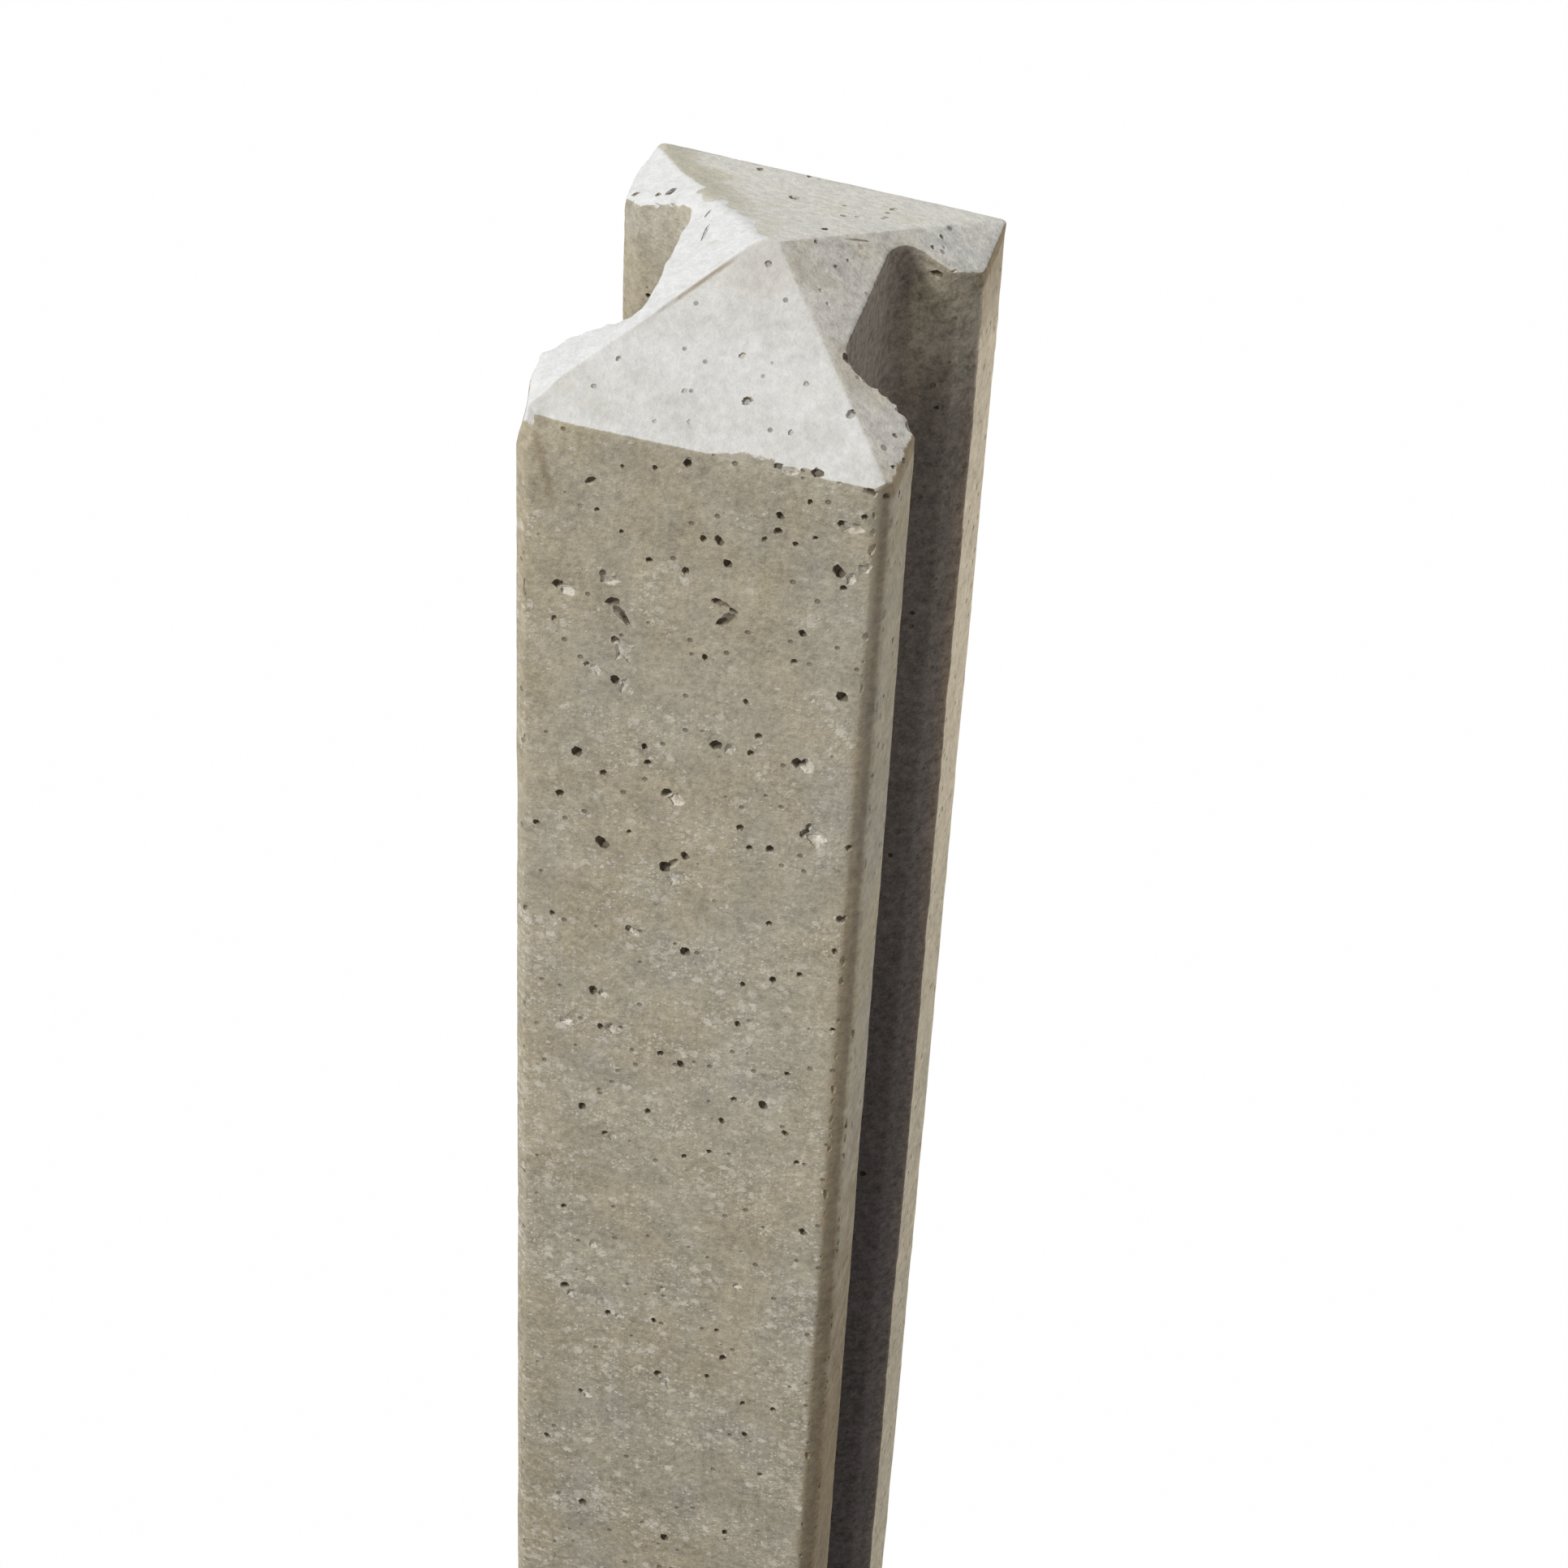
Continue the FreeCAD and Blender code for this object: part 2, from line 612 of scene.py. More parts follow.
    def _front_corners(self, sheet: NodeSheet, marks: Marks, colour: Sock) -> Sock:
        """Adds the brown band and its seam down the right corner, and a streak by the left one.

        Args:
            sheet: The material's nodes.
            marks: The shared values.
            colour: The colour so far.

        Returns:
            The colour with them.
        """
        turn = marks.across + marks.depth
        head = sheet.band(marks.drop, 0.09, 0.04)
        ragged = turn + (marks.fine - 0.5) * 0.006 + (marks.mottle - 0.5) * 0.006 - head * 0.0025
        calm = turn + (marks.mottle - 0.5) * 0.002
        in_front = sheet.band(marks.depth, -0.05, -0.054) * sheet.band(marks.across, 0.0, 0.01)
        flat = sheet.band(ragged, -0.0162, -0.0134) * sheet.band(calm, -0.0066, -0.0086) * in_front
        colour = sheet.mix(flat * (marks.low * 0.25 + 0.5), colour, self.brown)
        seam = sheet.band(calm, -0.0122, -0.0098) * sheet.band(calm, -0.007, -0.0088) * in_front
        colour = sheet.mix(seam * (0.3 - marks.low * 0.12), colour, self.dark_grime_and_shade)
        streak = abs(marks.across + 0.0463 - marks.drop * 0.18)
        streak = sheet.band(streak, 0.002, 0.0003) * sheet.band(marks.drop, 0.04, 0.022)
        streak = streak * sheet.band(marks.drop, 0.004, 0.01) * sheet.band(marks.depth, -0.058, -0.061)
        return sheet.mix(streak * 0.5, colour, self.brown)

    def _right_ends(self, sheet: NodeSheet, marks: Marks, colour: Sock) -> Sock:
        """Colours the strips of the right side on either hand of its slot, with a painted highlight on the
        far one and painted shade and dirt below the eaves.

        Args:
            sheet: The material's nodes.
            marks: The shared values.
            colour: The colour so far.

        Returns:
            The colour with them.
        """
        ends = sheet.band(marks.across, self.half_width - 0.002, self.half_width - 0.001)
        near_end = ends * sheet.band(marks.depth, -self.half_mouth, -self.half_mouth - 0.002)
        # The near strip turns browner lower down.
        browner_below = sheet.band(marks.drop - (marks.mottle - 0.5) * 0.2, 0.22, 0.42)
        colour = sheet.mix(near_end * (browner_below * 0.85 + (1.0 - browner_below) * 0.12), colour, self.brown)
        far_end = ends * sheet.band(marks.depth, self.half_mouth - 0.0006, self.half_mouth + 0.0004)
        # Painted highlight: the far strip is pale cream, lighter than the near strip that faces the same way.
        colour = sheet.mix(far_end * (1.0 - marks.low * 0.4), colour, self.cream)
        # Painted shade: the top of the far strip is browner below the eaves.
        far_top_shade = sheet.band(marks.drop, 0.042, 0.004)
        colour = sheet.mix(far_end * far_top_shade * 0.55, colour, self.brown)
        # Painted shade and dirt: a brown band along the top of the right side, below the eaves.
        shade_and_dirt_under_eaves = sheet.band(marks.drop - (marks.fine - 0.5) * 0.004, 0.006, 0.0042)
        shade_and_dirt_under_eaves = shade_and_dirt_under_eaves * sheet.band(marks.across, 0.05, 0.052)
        return sheet.mix(shade_and_dirt_under_eaves * 0.7, colour, self.brown)

    def _right_slot(self, sheet: NodeSheet, marks: Marks, colour: Sock) -> Sock:
        """Adds the grime and painted shade of the right slot, browner on its lips, with painted light near
        its head.

        Args:
            sheet: The material's nodes.
            marks: The shared values.
            colour: The colour so far.

        Returns:
            The colour with it.
        """
        deep_in = sheet.band(marks.across, self.slot_floor + 0.008, self.slot_floor + 0.002)
        # Grime and painted shade fill the slot, darker lower down.
        grime_and_shade = sheet.mix(marks.low * 0.8, self.grime_and_shade, self.dark_grime_and_shade)
        # Painted light: the slot's floor is lighter near the head, where more light falls.
        grime_and_shade = sheet.mix(deep_in * sheet.band(marks.drop, 0.075, 0.02), grime_and_shade, self.slot_top)
        lips = sheet.band(marks.across, self.lip + 0.0025, self.lip + 0.0055) * (0.8 - marks.low * 0.55)
        lips = lips * (1.0 - sheet.band(marks.drop, 0.13, 0.06) * 0.5)
        grime_and_shade = sheet.mix(lips, grime_and_shade, self.brown_grime_and_shade)
        # Painted light: the slot's walls are lighter near the head, where more light falls.
        lighter_near_head = sheet.band(marks.drop, 0.062, 0.004) * (1.0 - deep_in) * 0.7
        share = marks.in_slot * (sheet.band(marks.mottle, 0.1, 0.55) * 0.25 + 0.75 - lighter_near_head)
        return sheet.mix(share, colour, grime_and_shade)

    def _cap(self, sheet: NodeSheet, marks: Marks) -> tuple[Sock, Sock]:
        """Colours the four slopes of the cap.

        Args:
            sheet: The material's nodes.
            marks: The shared values.

        Returns:
            Their colour, and how far the grain is held back on them.
        """
        # Which slope a point is on. The left one's edge is scalloped behind the ridge.
        sideways = (abs(marks.across) - self.half_ridge) * (1 / (self.half_width - self.half_ridge))
        endways = abs(marks.depth) * (1 / self.half_depth)
        lumps = sheet.clouds(marks.place, self.lump_size, 0.0, 0.4)
        scallop = (lumps - 0.42) * sheet.band(marks.depth, -0.002, 0.004)
        scallop = scallop * sheet.band(marks.across, -0.036, -0.028)
        left = sheet.band(marks.across, 0.001, -0.001)
        on_left = sheet.band(sideways - endways + scallop * 0.35, -0.02, 0.01) * left
        on_right = sheet.band(sideways - endways, -0.012, 0.012) * (1.0 - left)
        at_back = sheet.band(marks.depth, -0.001, 0.001)

        # The front slope, greyer towards the ridge.
        colour = sheet.mix(sheet.band(marks.stains, 0.45, 0.7) * 0.7, self.cap, self.cap_grey)
        top = sheet.band(endways + (marks.mottle - 0.5) * 0.5, 0.55, 0.15)
        colour = sheet.mix(top * 0.6, colour, self.cap_grey)

        # The back slope, mossy beside the left one.
        wedge = sheet.band(sideways - endways + (marks.mottle - 0.5) * 0.6, -0.36, -0.12)
        wedge = wedge * (sheet.band(endways, 0.25, 0.6) * 0.7 + 0.3)
        back = sheet.mix(wedge * left, self.cap_back, self.cap_moss)
        back = sheet.mix(sheet.band(marks.mottle, 0.5, 0.7) * 0.5, back, self.cap_moss)
        colour = sheet.mix(at_back, colour, back)

        # The right slope, warm and patchy.
        warm = sheet.band(marks.stains + (marks.mottle - 0.5) * 0.6, 0.42, 0.66)
        right = sheet.mix(warm * 0.9, self.cap_right, self.cap_warm)
        right = sheet.mix(sheet.band(marks.depth, 0.026, 0.036) * 0.5, right, self.cap)
        colour = sheet.mix(on_right, colour, right)

        # The left slope, worn white, with a painted shadow line in brown along the step at its front edge.
        dull = sheet.band(marks.mottle, 0.5, 0.72) * 0.4
        fresh = sheet.mix(dull, self.fresh, self.cap_grey)
        colour = sheet.mix(on_left, colour, fresh)
        # Painted shadow of the step: a thin brown line on the front slope beside the ridge.
        step = sheet.band(sideways - endways + (marks.fine - 0.5) * 0.03, -0.05, -0.02)
        step = step * (1.0 - on_left) * left
        step = step * sheet.band(marks.depth, -0.003, -0.012) * sheet.band(marks.depth, -0.034, -0.026)
        colour = sheet.mix(step * sheet.band(marks.mottle, 0.3, 0.6) * 0.8, colour, self.brown)
        calm = 0.6 - on_right * 0.45 - at_back * (1.0 - on_left) * 0.2
        return colour, calm

    def _flecks(self, sheet: NodeSheet, marks: Marks) -> Sock:
        """Finds the pale flecks of the upright faces: skin worn through, and painted highlight.

        Args:
            sheet: The material's nodes.
            marks: The shared values.

        Returns:
            How strongly a fleck shows.
        """
        swarm = sheet.clouds(sheet.stretched(marks.place, (0.7, 0.7, 1.2)), self.swarm_size, 3.0, 0.65) - 0.5
        below = sheet.band(marks.drop, 0.04, 0.22)
        flecks = None
        for spacing, rarity in self.fleck_lots:
            cells = sheet.cells(sheet.jostled(marks.place, spacing * 0.45, spacing * 0.9), spacing)
            lot, size, strength = sheet.split(cells.other("Color"))
            blobs = sheet.band(cells - size * 0.25, 0.45, 0.1) * (strength * 0.6 + 0.4)
            blobs = blobs * sheet.band(lot + swarm * 2.2 + below * 0.22, rarity, rarity + 0.3)
            flecks = blobs if flecks is None else flecks.at_least(blobs)
        on_face = sheet.band(marks.across + marks.depth * 0.5, 0.0175, 0.016)
        left_slot = sheet.band(marks.across, -self.slot_floor, -self.slot_floor - 0.001)
        left_slot = left_slot * sheet.band(abs(marks.depth), self.half_mouth, self.half_mouth - 0.001)
        return flecks * on_face * (1.0 - left_slot) * (1.0 - marks.on_cap) * (1.0 - marks.in_slot)

    def _pins(self, sheet: NodeSheet, marks: Marks) -> Sock:
        """Finds the pinholes, too small to be cut, which are painted dark as shade and dirt.

        Args:
            sheet: The material's nodes.
            marks: The shared values.

        Returns:
            How strongly a pinhole shows.
        """
        cells = sheet.cells(marks.place, self.pin_spacing)
        lot, size, _ = sheet.split(cells.other("Color"))
        pins = sheet.band(cells - size * 0.08, 0.13, 0.04) * sheet.band(lot, 0.55, 0.6)
        fresh_side = marks.on_cap * sheet.band(marks.across, -0.012, -0.018)
        return pins * (1.0 - fresh_side)

    def _hollows(self, sheet: NodeSheet, marks: Marks, colour: Sock) -> Sock:
        """Colours the scoops and the air holes by how deep they lie: pale scoops, partly painted highlight,
        and dark air holes, painted shade and dirt.

        Args:
            sheet: The material's nodes.
            marks: The shared values.
            colour: The colour around them.

        Returns:
            The colour with them.
        """
        hole = sheet.node("ShaderNodeAttribute", {"attribute_name": "hole"}, None, "Fac")
        broken = sheet.node("ShaderNodeAttribute", {"attribute_name": "broken"}, None, "Fac")
        # Pale scoop walls: fresh broken concrete, and painted highlight where the light falls on them.
        worn_and_lit = sheet.band(broken, 0.00003, 0.0003) * (sheet.band(marks.mottle, 0.3, 0.6) * 0.6 + 0.4)
        worn_and_lit = worn_and_lit * (sheet.band(marks.fine + (marks.sand - 0.5) * 0.8, 0.4, 0.56) * 0.75 + 0.25)
        colour = sheet.mix(worn_and_lit * 0.82, colour, self.chip)
        pale = sheet.band(marks.depth, -0.06, -0.0575) * sheet.band(marks.depth, 0.014, 0.006)
        # Painted shade and dirt: air holes darken with depth.
        dark = sheet.band(hole, 0.0001, 0.0009) * (0.85 - marks.on_cap * pale * 0.5)
        return sheet.mix(dark, colour, self.hollow)


@dataclass(frozen=True)
class Hollow:
    """One hollow to be cut: its kind, the surface point at its middle, and its half sizes."""

    mould: Mould
    middle: Vector
    facing: Vector
    long: float
    wide: float
    deep: float
    spin: float = 0.0
    sink: float = 0.0
    along: Vector | None = None
    settle: bool = False

    def stand(self) -> Matrix:
        """Puts a mould of radius 1 in this place.

        Returns:
            The matrix that does it.
        """
        level = self.along if self.along is not None else Axis.UP.value.cross(self.facing)
        level = level - self.facing * level.dot(self.facing)
        level = level.normalized() if level.length > NO_LENGTH else Axis.ACROSS.value
        turn = Matrix((level, self.facing.cross(level), self.facing)).transposed().to_4x4()
        middle = Matrix.Translation(self.middle - self.facing * (self.deep * self.sink))
        spin = Matrix.Rotation(self.spin, 4, "Z")
        return middle @ turn @ spin @ Matrix.Diagonal((self.long, self.wide, self.deep, 1.0))

    def reach(self) -> float:
        """Gives the greatest half size."""
        return max(self.long, self.wide, self.deep)


@dataclass
class Moulds:
    """The shapes of the hollows, each modelled once, and their cutting."""

    shapes: dict[tuple[Mould, int], bpy.types.Mesh] = field(default_factory=dict)
    variants: int = 4
    seed: int = 11

    def build(self) -> None:
        """Models every mould in a few variants."""
        for variant in range(self.variants):
            for mould in Mould:
                self.shapes[mould, variant] = self._shape(mould, variant)

    def _shape(self, mould: Mould, variant: int) -> bpy.types.Mesh:
        """Models one mould of radius 1.

        Args:
            mould: Kind of hollow.
            variant: Number of the variant, which sets its unevenness.

        Returns:
            The mesh of the mould.
        """
        bpy.ops.object.select_all(action="DESELECT")
        if mould is Mould.BUBBLE:
            bpy.ops.mesh.primitive_uv_sphere_add(segments=8, ring_count=5, radius=1)
        else:
            bpy.ops.mesh.primitive_ico_sphere_add(subdivisions=1 if mould is Mould.FLAKE else 2, radius=1)
        model = bpy.context.object
        with editing(model, Pick.VERTS):
            seed = self.seed + variant
            bpy.ops.transform.vertex_random(offset=mould.value, uniform=0.8, normal=0.2, seed=seed)
            if mould is Mould.SPALL:
                bpy.ops.transform.resize(value=(1.0, 0.85, 1.1))
            bpy.ops.mesh.quads_convert_to_tris()
        shape = model.data
        bpy.data.objects.remove(model)
        return shape

    def cut(self, piece: bpy.types.Object, name: str, hollows: Sequence[Hollow]) -> None:
        """Cuts hollows out of a piece.

        Args:
            piece: What is cut.
            name: Name of the tool while it exists.
            hollows: The hollows.
        """
        copies = []
        bpy.context.view_layer.update()
        for count, hollow in enumerate(hollows):
            if hollow.settle:
                _, place, facing, _ = piece.closest_point_on_mesh(hollow.middle)
                hollow = replace(hollow, middle=place, facing=facing)
            shape = self.shapes[hollow.mould, count % self.variants].copy()
            copy = bpy.data.objects.new(name, shape)
            copy.matrix_world = hollow.stand()
            bpy.context.scene.collection.objects.link(copy)
            copies.append(copy)
        take(copies[0])
        for copy in copies:
            copy.select_set(True)
        bpy.ops.object.transform_apply(location=True, rotation=True, scale=True)
        bpy.ops.object.join()
        tool = bpy.context.object
        take(piece)
        cutting = piece.modifiers.new(name, "BOOLEAN")
        cutting.operation = "DIFFERENCE"
        cutting.solver = "MANIFOLD"
        cutting.object = tool
        bpy.ops.object.modifier_apply(modifier=cutting.name)
        bpy.data.objects.remove(tool)
        log.info("%s: %d cut, %d triangles", name, len(hollows), triangles_in(piece))

    def clear(self) -> None:
        """Puts the moulds away."""
        for shape in self.shapes.values():
            bpy.data.meshes.remove(shape)
        self.shapes.clear()


@dataclass(frozen=True)
class WearPlan(PostSizes):
    """Where the casting is chipped, pitted and cracked. The rows and runs are in millimetres."""

    # Chips along the slots at the cap: across, end of the slot, length, width.
    chip_rows: Rows = (
        (30.4, -1, 2.4, 2.6), (33.8, -1, 3.2, 3.6), (37.6, -1, 3.0, 3.4), (41.4, -1, 2.0, 2.2),
        (44.0, -1, 1.8, 2.0), (47.2, -1, 2.4, 2.8), (51.4, -1, 2.2, 2.8), (46.0, 1, 1.8, 0.9),
        (-36.5, 1, 1.8, 1.6), (-41.0, 1, 1.4, 1.8),
    )
    # Scoops of the front face: across, below the eaves, length, width.
    scoop_rows: Rows = (
        (-36.6, 59.5, 2.6, 2.9), (-23.4, 52.4, 3.4, 2.3), (-19.6, 76.6, 3.0, 4.9), (-28.4, 86.8, 2.2, 2.2),
        (-18.8, 91.2, 2.7, 3.6), (42.5, 15, 3.4, 2.8), (12.0, 105.6, 1.9, 2.6), (34.8, 106.0, 2.7, 3.7),
        (-3.0, 129.6, 3.3, 2.6), (38.4, 131.6, 3.3, 4.6), (-2.2, 161.0, 3.9, 3.2), (-23.8, 217.5, 2.0, 2.0),
        (-20.5, 231.5, 3.4, 2.4), (-35.3, 233, 2.0, 2.2), (-20.2, 280.6, 1.9, 2.4), (-14.5, 188, 1.7, 1.8),
        (-26, 334, 1.5, 2.0), (-3, 347.5, 1.5, 1.8), (-32.6, 361.0, 2.0, 2.6), (-0.8, 393.6, 2.2, 3.0),
        (-27, 411, 2.2, 1.6), (47.3, 28, 1.9, 2.2), (-16.5, 366.5, 1.9, 1.4), (22, 337, 1.9, 1.4),
        (43.4, 32.5, 1.6, 2.4),
    )
    # Round air holes of the front face: across, below the eaves, width.
    face_rows: Rows = (
        (-3, 5, 2.4), (-12, 9, 1.5), (-21, 11, 1.2), (-28, 28, 1.6), (-21, 34, 1.3), (2, 30, 2),
        (6.5, 29.5, 2.5), (-13, 42, 2.1), (-2.6, 43, 2.2), (9, 37, 2.5), (23, 16, 2.2), (22.6, 21.5, 2.3),
        (19, 25.5, 1.6), (27.6, 24.7, 1.6), (31, 9, 1.6), (33, 21, 1.6), (46, 10, 1.9), (40, 14, 2.2),
        (40, 31, 3.4), (41.5, 36.4, 2), (-39, 58, 2.6), (-26, 51, 2.6), (-40, 71, 1.5), (-22.3, 74, 2.6),
        (-30.4, 85.4, 1.8), (-22, 89, 3.2), (31, 56, 2.2), (29, 67, 1.8), (3.7, 73, 1.8), (43, 76, 3.2),
        (16, 86, 1.6), (20, 98, 2.3), (8, 105, 3), (-33, 120, 3.4), (-13, 112, 1.8), (-12, 118, 2.2),
        (-25, 126, 2), (18, 105, 2), (32, 105, 3.3), (-6, 128, 3.4), (-38, 138, 2.1), (-45, 152, 2.2),
        (-25, 154, 3.5), (-17, 147, 1.8), (16, 135, 2), (35, 131.5, 3.2), (0, 151.5, 2.8), (25, 140.7, 2.8),
        (19, 142, 1.8), (48, 133, 2), (-6, 158, 3.6), (-40, 188, 2), (-16.4, 187, 2), (1, 191, 3.6),
        (-27, 217, 2.7), (19, 199, 2.1), (28, 194, 2.2), (36, 189, 1.8), (46, 176, 2), (47, 162.5, 2.6),
        (26, 171, 1.8), (-24.6, 232, 2.5), (18, 216.5, 2), (47, 209, 1.8), (-5.5, 237.5, 2),
        (0.8, 240, 2.6), (-30, 270, 2.8), (-9, 265, 2.4), (18, 250, 1.8), (27, 249.5, 3.2),
        (14.5, 261, 2.1), (-22.6, 280, 2.1), (3, 281.6, 1.8), (11, 276.5, 1.8), (34.5, 259.5, 1.8),
        (38.6, 271.6, 2.2), (-35.6, 319, 2), (34, 233, 1.8), (42, 303, 2.5), (-35, 357.6, 2.8),
        (-20.4, 366, 2), (16, 361, 1.8), (-5, 364, 1.8), (18.4, 374, 2.7), (-3, 390.6, 2.5),
        (13.5, 385.4, 1.8), (-29, 410, 2), (25.7, 394.7, 2), (36, 394, 2), (27, 410.5, 2.1),
        (-40.7, 438, 2.1), (33, 429.7, 2.1), (-28, 469.5, 2.5), (1, 477.4, 3), (22, 465.8, 2.3),
    )
    # Long air holes of the front face: across, below the eaves, length, width, spin.
    long_rows: Rows = (
        (-30, 18.4, 2.4, 1.3, 0.75), (-23, 60, 2.4, 1.7, 0.3), (-19.5, 65.6, 3.0, 1.1, -1.0),
        (6.6, 51.3, 1.9, 1.2, 0.3), (11.2, 53.6, 1.8, 1.1, -0.6), (8.3, 58.4, 2.2, 1.4, 0.6),
        (-1, 239.5, 0.9, 1.6, 0.3),
    )
    # Air holes of the cap: across, depth, width.
    cap_rows: Rows = (
        (8, -46, 3.2), (3, -34, 2.2), (-33, -51, 2), (-29, -42, 2), (-9, -47, 1.8), (22, -38, 1.8),
        (-14, -57, 1.6), (-5, -55, 1.6), (22, -52, 1.8), (2, -7, 2.4), (36, -43.5, 3.4), (-19, 57.6, 2.6),
        (-4.4, 41.6, 3.6), (22.6, 49, 2.6), (16, 35.8, 2.4), (11, 8.5, 2), (10.6, 19, 2.8),
        (-4.8, 60.6, 2.4), (39, 40, 2), (38, 34, 1.6), (20, 9, 1.6), (18, 4, 1.8), (17, -8, 1.6),
        (20, -11, 1.6), (48, -42, 2.2),
    )
    # Cracks of the cap: one end and the other, each across and depth, and the width.
    crack_runs: Runs = (
        ((-20.8, 13.5), (-20.2, 4.2), 0.6), ((-23.4, 16.5), (-22.2, 20.5), 0.6),
        ((-50.6, 37.4), (-47.8, 37.0), 0.9), ((-42.8, 34.0), (-41.0, 35.0), 1.1),
        ((-39.6, 33.6), (-37.0, 36.2), 1.2), ((-23.6, 8.0), (-22.6, 1.0), 0.45),
        ((16.2, 15.4), (23.4, 21.4), 0.5),
    )
    # Notches of the front eaves: across, depth, below the eaves, width, deepness.
    notch_rows: Rows = (
        (4.0, -62.5, 0.3, 0.6, 0.6), (21.6, -61.6, -0.3, 1.1, 1.1), (28.2, -61.4, -0.4, 0.6, 0.6),
        (32.2, -61.1, -0.5, 1.6, 1.4), (38.5, -62.5, 0.4, 0.6, 0.5), (47.0, -62.3, 1.4, 1.9, 0.9),
        (51.0, -60.2, 3.4, 1.2, 1.2), (52.4, -48.0, 0.3, 1.0, 1.0), (50.4, -53.0, -0.8, 0.8, 0.8),
    )
    # Runs that join air holes of the front face: one end and the other, each across and below, and the width.
    pit_runs: Runs = (
        ((-22.8, 61.0), (-19.0, 66.4), 1.7), ((6.2, 50.8), (10.8, 53.4), 1.5),
        ((11.6, 54.0), (8.2, 59.0), 1.7), ((-5.8, 158.4), (-1.6, 153.2), 1.4),
        ((35.0, 130.0), (37.0, 126.6), 1.0),
    )

    # Numbers of small chips down each arris, and of scattered air holes on each surface.
    right_chips: int = 46
    left_chips: int = 16
    back_chips: int = 20
    low_chips: int = 24
    front_holes: int = 110
    back_holes: int = 150
    end_holes: int = 26
    slot_holes: int = 30

    # Half widths of the small chips and scattered air holes in millimetres: least, greatest, usual.
    chip_size: Triple = (0.6, 1.7, 0.8)
    face_size: Triple = (0.7, 1.8, 1.0)
    end_size: Triple = (0.6, 1.5, 0.8)
    slot_size: Triple = (0.6, 1.4, 0.8)

    # Depths below the eaves at which the small chips thin out, and at which the rows of the front face end.
    close_up: float = 0.55
    rows_end: float = 0.49
    foot: float = 0.02
    # Room around a hollow: times its greatest half size, and metres more.
    spread: float = 1.1
    clearance: float = 0.0002
    chance: random.Random = field(default_factory=lambda: random.Random(SEED))

    def _on_front(self, across: float, below: float) -> Vector:
        """Point of the front face, from millimetres across and below the eaves."""
        return Vector((across * MM, -self.half_depth, self.eaves - below * MM))

    def _on_cap(self, across: float, depth: float) -> Vector:
        """Point of the cap, from millimetres in plan."""
        return Vector((across * MM, depth * MM, self.cap_height(across * MM, depth * MM)))

    def _bubble(self, middle: Vector, facing: Vector, radius: float) -> Hollow:
        """Makes a roundish air hole.

        Args:
            middle: Surface point at its middle.
            facing: Direction that the surface faces.
            radius: Its half width.

        Returns:
            The air hole.
        """
        draw = self.chance.uniform
        long = radius * draw(0.95, 1.25)
        wide = radius * draw(0.8, 1.05)
        deep = radius * draw(1.0, 1.4)
        spin = draw(-1.6, 1.6)
        return Hollow(Mould.BUBBLE, middle, facing, long, wide, deep, spin, draw(0.0, 0.3), settle=True)

    def _add(self, hollows: list[Hollow], hollow: Hollow) -> None:
        """Adds a hollow to a list unless it would meet another there.

        Args:
            hollows: The hollows so far.
            hollow: The new one.
        """
        reach = hollow.reach() * self.spread + self.clearance
        for other in hollows:
            if (other.middle - hollow.middle).length <= other.reach() * self.spread + reach:
                return
        hollows.append(hollow)

    def chips(self) -> list[Hollow]:
        """Lists the chips of the cap's broken edges.

        Returns:
            The chips.
        """
        chips: list[Hollow] = []
        for across, end, long, wide in self.chip_rows:
            middle = self._on_cap(across, end * self.slot_half(across * MM) / MM)
            facing = Vector((0, -end, 0.9)).normalized()
            spin = self.chance.uniform(-0.4, 0.4)
            chips.append(Hollow(Mould.SPALL, middle, facing, long * MM, wide * MM, wide * MM, spin, -0.25))
        return chips

    def arris_chips(self) -> list[Hollow]:
        """Lists the small chips scattered down the upright arrises, most of them in front on the right.

        Returns:
            The chips.
        """
        arrises: list[tuple[Vector, Vector, int]] = []
        for side in (-1, 1):
            front = Vector((side, -1, 0)).normalized()
            back = Vector((side, 1, 0)).normalized()
            count = self.right_chips if side > 0 else self.left_chips
            out = side * self.half_width
            flat = side * (self.half_width - self.corner_flat)
            arrises.append((Vector((flat, -self.half_depth, 0)), front, count))
            arrises.append((Vector((out, self.corner_flat - self.half_depth, 0)), front, count))
            arrises.append((Vector((out, self.half_depth, 0)), back, self.back_chips))
        chips: list[Hollow] = []
        for foot, facing, count in arrises:
            levels = [self.eaves - self.chance.uniform(0.006, self.close_up) for _ in range(count)]
            levels += [self.chance.uniform(0.01, self.eaves - self.close_up) for _ in range(self.low_chips)]
            for level in levels:
                size = self.chance.triangular(*self.chip_size) * MM
                middle = foot + Vector((0, 0, level)) + facing * size * 0.15
                tall = size * self.chance.uniform(1.2, 2.6)
                self._add(chips, Hollow(Mould.FLAKE, middle, facing, tall, size, size, along=Axis.UP.value))
        return chips

    def scoops(self) -> list[Hollow]:
        """Lists the shallow pale scoops beside the larger air holes of the front face.

        Returns:
            The scoops, and a break of the front eaves.
        """
        draw = self.chance.uniform
        scoops = []
        for across, below, long, wide in self.scoop_rows:
            middle = self._on_front(across, below)
            lean = Vector((draw(-0.3, 0.1), -1, draw(-0.1, 0.3))).normalized()
            spin = draw(-0.6, 0.6)
            scoops.append(Hollow(Mould.SCOOP, middle, lean, long * MM, wide * MM, 1.3 * MM, spin, -0.2))
        middle = self._on_front(24.8, 0.3)
        facing = Vector((0, -0.8, 0.6))
        scoops.append(Hollow(Mould.SCOOP, middle, facing, 2.4 * MM, 1.6 * MM, 1.2 * MM))
        return scoops

